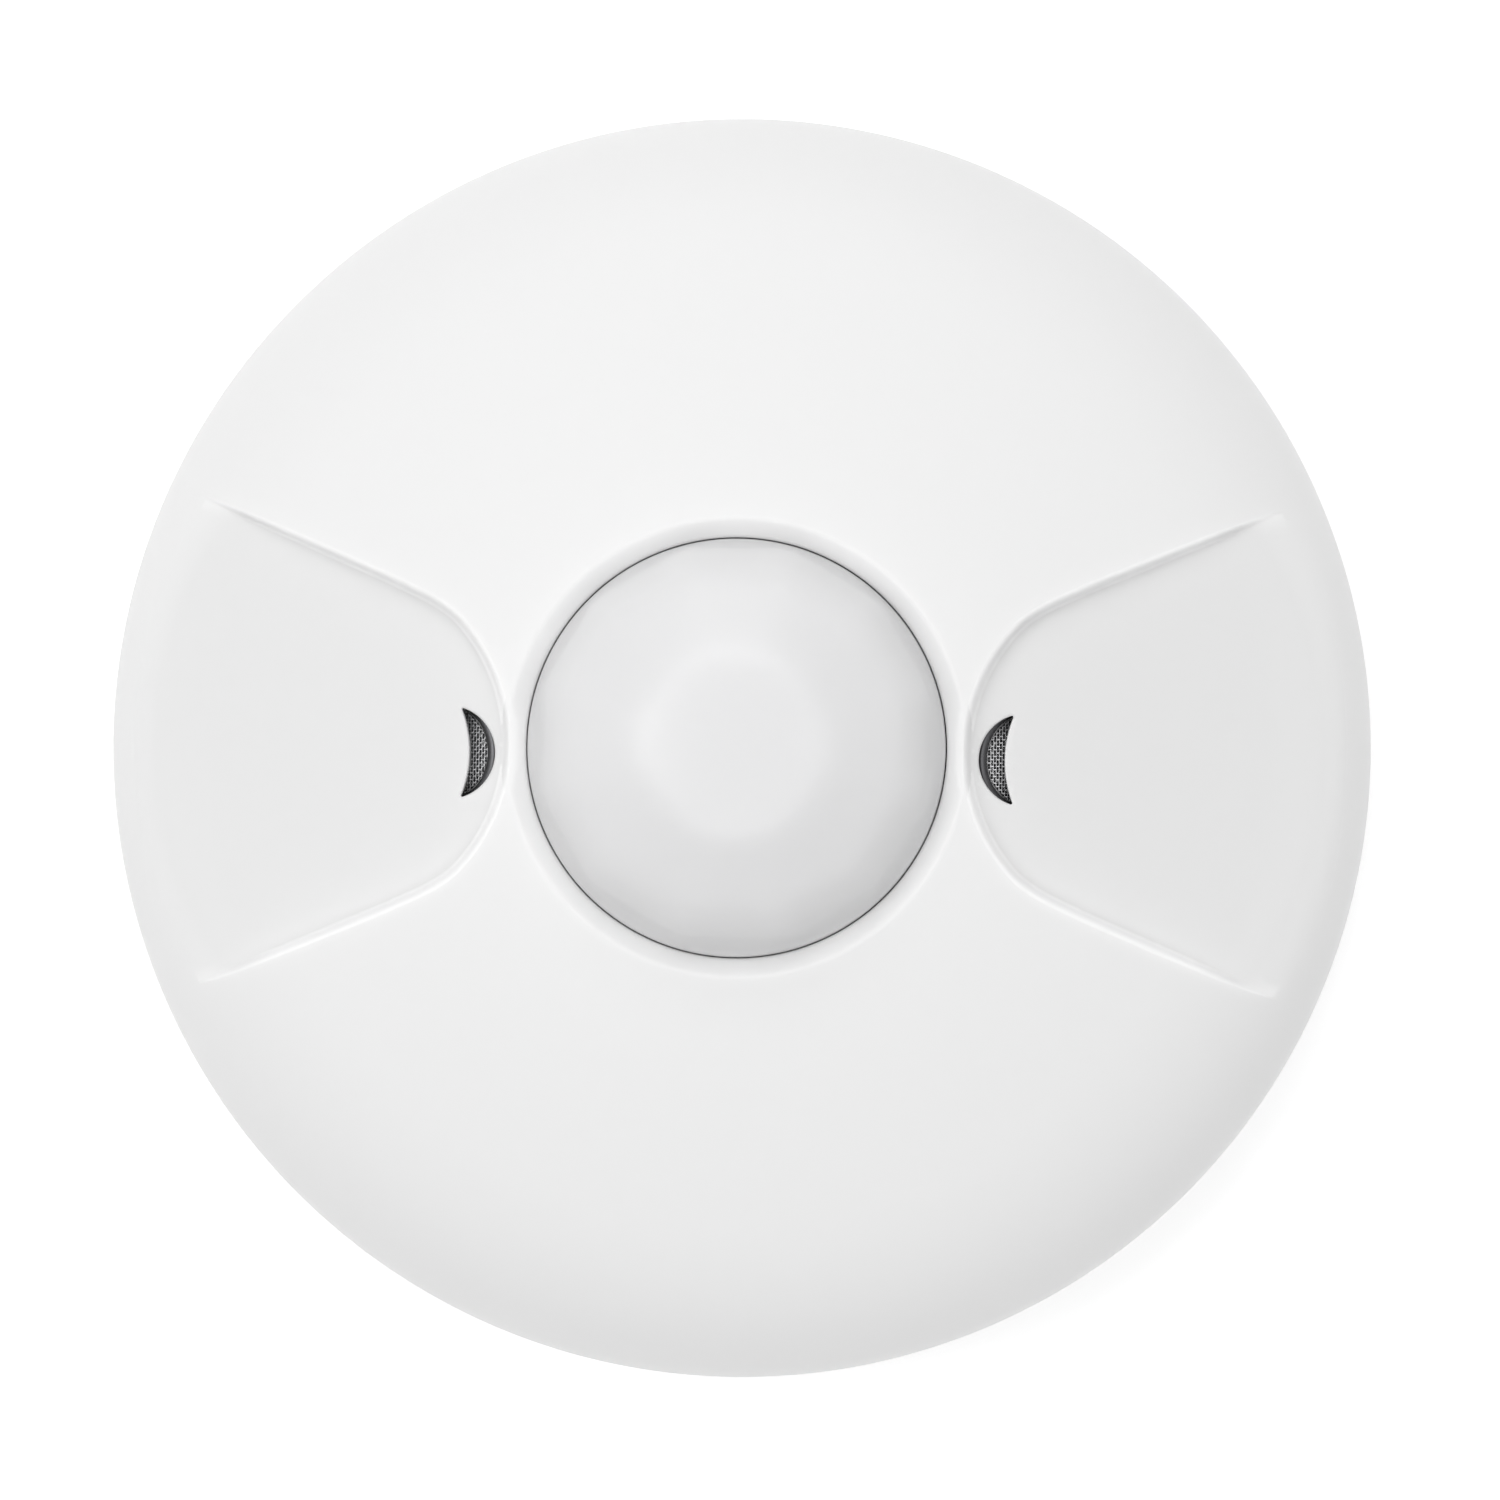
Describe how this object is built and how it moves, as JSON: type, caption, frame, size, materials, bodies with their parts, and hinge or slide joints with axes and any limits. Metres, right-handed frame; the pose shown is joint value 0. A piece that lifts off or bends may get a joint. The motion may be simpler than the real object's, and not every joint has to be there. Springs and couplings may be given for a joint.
{
  "type": "ceiling motion sensor",
  "caption": "Round white ceiling motion sensor: domed clip-on cover with a faceted lens and two crescent ultrasonic ports over a board in a twist-on housing.",
  "frame": {"origin": "centre of the mounting plate's flat back face, which lies against the ceiling", "axes": "+Z out of the lens, away from the ceiling; the two ultrasonic ports lie on +X and -X"},
  "size_m": [0.1142, 0.1142, 0.0381],
  "materials": {
    "cover_plastic": "satin moulded white plastic, very fine even texture",
    "lens_plastic": "milky translucent polyethylene, satin, shallow faceted zones",
    "housing_plastic": "matt moulded off-white plastic",
    "black_plastic": "matt black moulded plastic",
    "board_laminate": "green solder mask over glass laminate with copper tracks",
    "plated_steel": "nickel-plated steel",
    "dark_aluminium": "drawn aluminium, dark grey anodised",
    "aluminium": "drawn aluminium, satin",
    "mesh_metal": "fine woven wire mesh",
    "rubber": "matt black silicone rubber",
    "dark_filter": "dark polished infrared filter",
    "led_red": "clear tinted red epoxy",
    "led_green": "clear tinted green epoxy",
    "photocell": "clear coated photocell",
    "trimmer_plastic": "dark blue-grey moulded plastic",
    "dial_black": "black moulded plastic",
    "dial_red": "red moulded plastic",
    "dial_green": "green moulded plastic",
    "dial_blue": "blue moulded plastic",
    "switch_red": "red moulded plastic",
    "slider_white": "white moulded plastic",
    "chip_plastic": "black moulded epoxy with tinned legs",
    "capacitor_sleeve": "dark blue shrink sleeve with a bare aluminium top",
    "copper_winding": "enamelled copper wire on a moulded bobbin",
    "header_nylon": "natural white nylon with tinned pins"
  },
  "bodies": {
    "ceiling_plate": {"mounting_plate": "housing_plastic"},
    "sensor_body": {"rear_housing": "housing_plastic", "main_board": "board_laminate", "pir_sensor_can": "plated_steel", "pir_window": "dark_filter", "pir_spacer": "black_plastic", "led_red": "led_red", "led_green": "led_green", "light_sensor": "photocell", "microcontroller": "chip_plastic", "amplifier_chip": "chip_plastic", "clock_crystal": "plated_steel", "voltage_regulator": "chip_plastic", "driver_coil": "copper_winding", "capacitor_1": "capacitor_sleeve", "capacitor_2": "capacitor_sleeve", "capacitor_3": "capacitor_sleeve", "lead_header": "header_nylon", "dip_housing_1": "switch_red", "dip_housing_2": "switch_red", "board_screw_1": "plated_steel", "board_screw_2": "plated_steel", "board_screw_3": "plated_steel", "board_screw_4": "plated_steel", "transmitter_can": "dark_aluminium", "transmitter_cone": "aluminium", "transmitter_mesh": "mesh_metal", "transmitter_boot": "rubber", "transmitter_bracket": "black_plastic", "receiver_can": "dark_aluminium", "receiver_cone": "aluminium", "receiver_mesh": "mesh_metal", "receiver_boot": "rubber", "receiver_bracket": "black_plastic", "trimmer_body_time_delay": "trimmer_plastic", "trimmer_body_infrared_gain": "trimmer_plastic", "trimmer_body_ultrasonic_gain": "trimmer_plastic", "trimmer_body_light_level": "trimmer_plastic"},
    "cover": {"front_cover": "cover_plastic", "pir_lens": "lens_plastic", "lens_retaining_ring": "housing_plastic"},
    "dial_time_delay": {"trimmer_dial_time_delay": "dial_black"},
    "dial_infrared_gain": {"trimmer_dial_infrared_gain": "dial_red"},
    "dial_ultrasonic_gain": {"trimmer_dial_ultrasonic_gain": "dial_green"},
    "dial_light_level": {"trimmer_dial_light_level": "dial_blue"},
    "option_slider_1": {"dip_slider_1": "slider_white"},
    "option_slider_2": {"dip_slider_2": "slider_white"},
    "option_slider_3": {"dip_slider_3": "slider_white"},
    "option_slider_4": {"dip_slider_4": "slider_white"},
    "option_slider_5": {"dip_slider_5": "slider_white"},
    "option_slider_6": {"dip_slider_6": "slider_white"},
    "option_slider_7": {"dip_slider_7": "slider_white"},
    "option_slider_8": {"dip_slider_8": "slider_white"}
  },
  "joints": [
    {"name": "housing_twist", "type": "hinge", "parent": "ceiling_plate", "child": "sensor_body", "pos_m": [0, 0, 0], "axis": [0, 0, 1], "range_deg": [0, 20]},
    {"name": "cover_lift", "type": "slide", "parent": "sensor_body", "child": "cover", "axis": [0, 0, 1], "range_m": [0, 0.04]},
    {"name": "time_delay_turn", "type": "hinge", "parent": "sensor_body", "child": "dial_time_delay", "pos_m": [-0.015, -0.034, 0.0145], "axis": [0, 0, 1], "range_deg": [-135, 135]},
    {"name": "infrared_gain_turn", "type": "hinge", "parent": "sensor_body", "child": "dial_infrared_gain", "pos_m": [-0.005, -0.034, 0.0145], "axis": [0, 0, 1], "range_deg": [-135, 135]},
    {"name": "ultrasonic_gain_turn", "type": "hinge", "parent": "sensor_body", "child": "dial_ultrasonic_gain", "pos_m": [0.005, -0.034, 0.0145], "axis": [0, 0, 1], "range_deg": [-135, 135]},
    {"name": "light_level_turn", "type": "hinge", "parent": "sensor_body", "child": "dial_light_level", "pos_m": [0.015, -0.034, 0.0145], "axis": [0, 0, 1], "range_deg": [-135, 135]},
    {"name": "option_1_switch", "type": "slide", "parent": "sensor_body", "child": "option_slider_1", "axis": [0, 1, 0], "range_m": [0, 0.0018]},
    {"name": "option_2_switch", "type": "slide", "parent": "sensor_body", "child": "option_slider_2", "axis": [0, 1, 0], "range_m": [0, 0.0018]},
    {"name": "option_3_switch", "type": "slide", "parent": "sensor_body", "child": "option_slider_3", "axis": [0, 1, 0], "range_m": [0, 0.0018]},
    {"name": "option_4_switch", "type": "slide", "parent": "sensor_body", "child": "option_slider_4", "axis": [0, 1, 0], "range_m": [0, 0.0018]},
    {"name": "option_5_switch", "type": "slide", "parent": "sensor_body", "child": "option_slider_5", "axis": [0, 1, 0], "range_m": [0, 0.0018]},
    {"name": "option_6_switch", "type": "slide", "parent": "sensor_body", "child": "option_slider_6", "axis": [0, 1, 0], "range_m": [0, 0.0018]},
    {"name": "option_7_switch", "type": "slide", "parent": "sensor_body", "child": "option_slider_7", "axis": [0, 1, 0], "range_m": [0, 0.0018]},
    {"name": "option_8_switch", "type": "slide", "parent": "sensor_body", "child": "option_slider_8", "axis": [0, 1, 0], "range_m": [0, 0.0018]}
  ]
}
